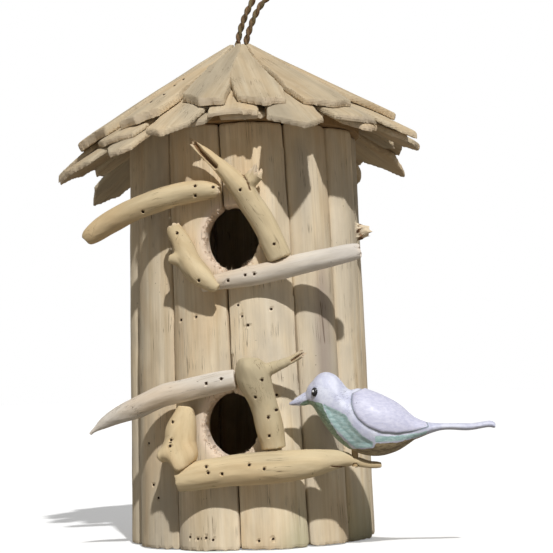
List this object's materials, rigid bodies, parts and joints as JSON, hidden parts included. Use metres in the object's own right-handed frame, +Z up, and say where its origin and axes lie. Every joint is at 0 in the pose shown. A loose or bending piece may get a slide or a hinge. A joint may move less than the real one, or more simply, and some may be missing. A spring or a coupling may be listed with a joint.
{
  "type": "hanging driftwood nest box",
  "caption": "Round hanging nest box of driftwood staves with a shingled cone roof, branch-framed entrances, a rope loop and a carved painted bird on a perch.",
  "frame": {"origin": "centre of the foot of the wall, on the level that it stands on", "axes": "+Z up; the two entrances face -Y; +X is to the right when looking at the entrances"},
  "size_m": [0.2827, 0.2295, 0.4132],
  "materials": {
    "stave_wood": "bleached driftwood logs, split, with grey streaks, fine grain and worm holes",
    "branch_wood": "smooth sea-worn branches with worm holes and torn ends",
    "shingle_wood": "split driftwood slabs with broken ends",
    "board_wood": "plain dull boards inside",
    "rope": "brown coir, two strands twisted",
    "bird_paint": "carved wood with worn white and pale aqua paint",
    "dowel_wood": "plain dowel"
  },
  "bodies": {
    "root": {"base_plate": "board_wood", "bird_peg": "dowel_wood", "carved_bird": "bird_paint", "eaves_shingles_back": "shingle_wood", "eaves_shingles_front": "shingle_wood", "eaves_shingles_left": "shingle_wood", "eaves_shingles_right": "shingle_wood", "hanging_loop": "rope", "lower_left_branch": "branch_wood", "lower_left_stub": "branch_wood", "lower_perch": "branch_wood", "lower_right_fork": "branch_wood", "middle_floor": "board_wood", "middle_shingles_back": "shingle_wood", "middle_shingles_front": "shingle_wood", "middle_shingles_left": "shingle_wood", "middle_shingles_right": "shingle_wood", "roof_core": "board_wood", "rope_knot": "rope", "top_plate": "board_wood", "top_shingle_front": "shingle_wood", "top_shingle_front_left": "shingle_wood", "top_shingle_front_right": "shingle_wood", "top_shingle_left": "shingle_wood", "top_shingle_left_back": "shingle_wood", "top_shingle_left_front": "shingle_wood", "top_shingle_right": "shingle_wood", "top_shingle_right_back": "shingle_wood", "top_shingles_back": "shingle_wood", "upper_left_branch": "branch_wood", "upper_left_stub": "branch_wood", "upper_perch": "branch_wood", "upper_right_fork": "branch_wood", "wall_stave_01": "stave_wood", "wall_stave_02": "stave_wood", "wall_stave_03": "stave_wood", "wall_stave_04": "stave_wood", "wall_stave_05": "stave_wood", "wall_stave_06": "stave_wood", "wall_stave_07": "stave_wood", "wall_stave_08": "stave_wood", "wall_stave_09": "stave_wood", "wall_stave_10": "stave_wood", "wall_stave_11": "stave_wood", "wall_stave_12": "stave_wood"}
  },
  "joints": []
}
